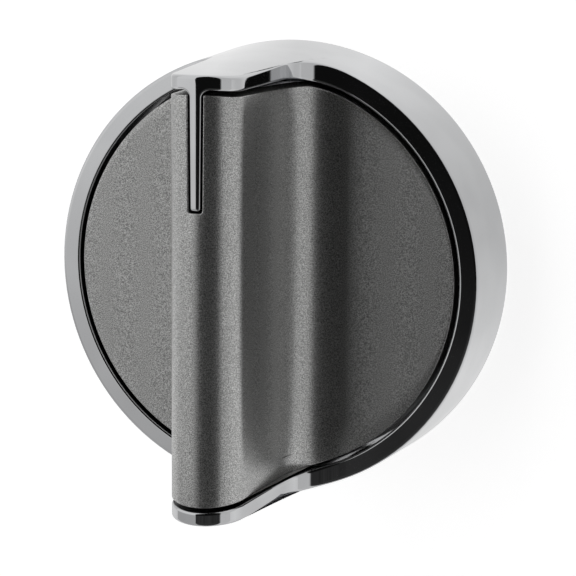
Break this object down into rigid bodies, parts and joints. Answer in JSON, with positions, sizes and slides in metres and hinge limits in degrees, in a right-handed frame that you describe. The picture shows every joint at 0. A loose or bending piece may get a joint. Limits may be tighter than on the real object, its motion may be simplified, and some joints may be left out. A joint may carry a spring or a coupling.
{
  "type": "stove knob",
  "caption": "Round cooktop control knob: polished chrome ring with a pointer round a grey face that rises into a full-width grip bar.",
  "frame": {"origin": "on the knob's axis, in the plane of the chrome ring's back edge", "axes": "+Z along the axis, out of the face; +Y along the grip bar, towards the pointer; +X to the right of someone who looks at the face with the pointer up"},
  "size_m": [0.05, 0.05, 0.03],
  "materials": {
    "chrome_plating": "polished",
    "grey_metallic_paint": "satin",
    "black_nylon": "matte",
    "spring_steel": "satin",
    "zinc_plated_steel": "satin"
  },
  "bodies": {
    "root": {"bezel": "chrome_plating", "face_insert": "grey_metallic_paint", "hub_carrier": "black_nylon", "stem_clip": "spring_steel", "hub_ring": "spring_steel", "carrier_screws": "zinc_plated_steel"}
  },
  "joints": []
}
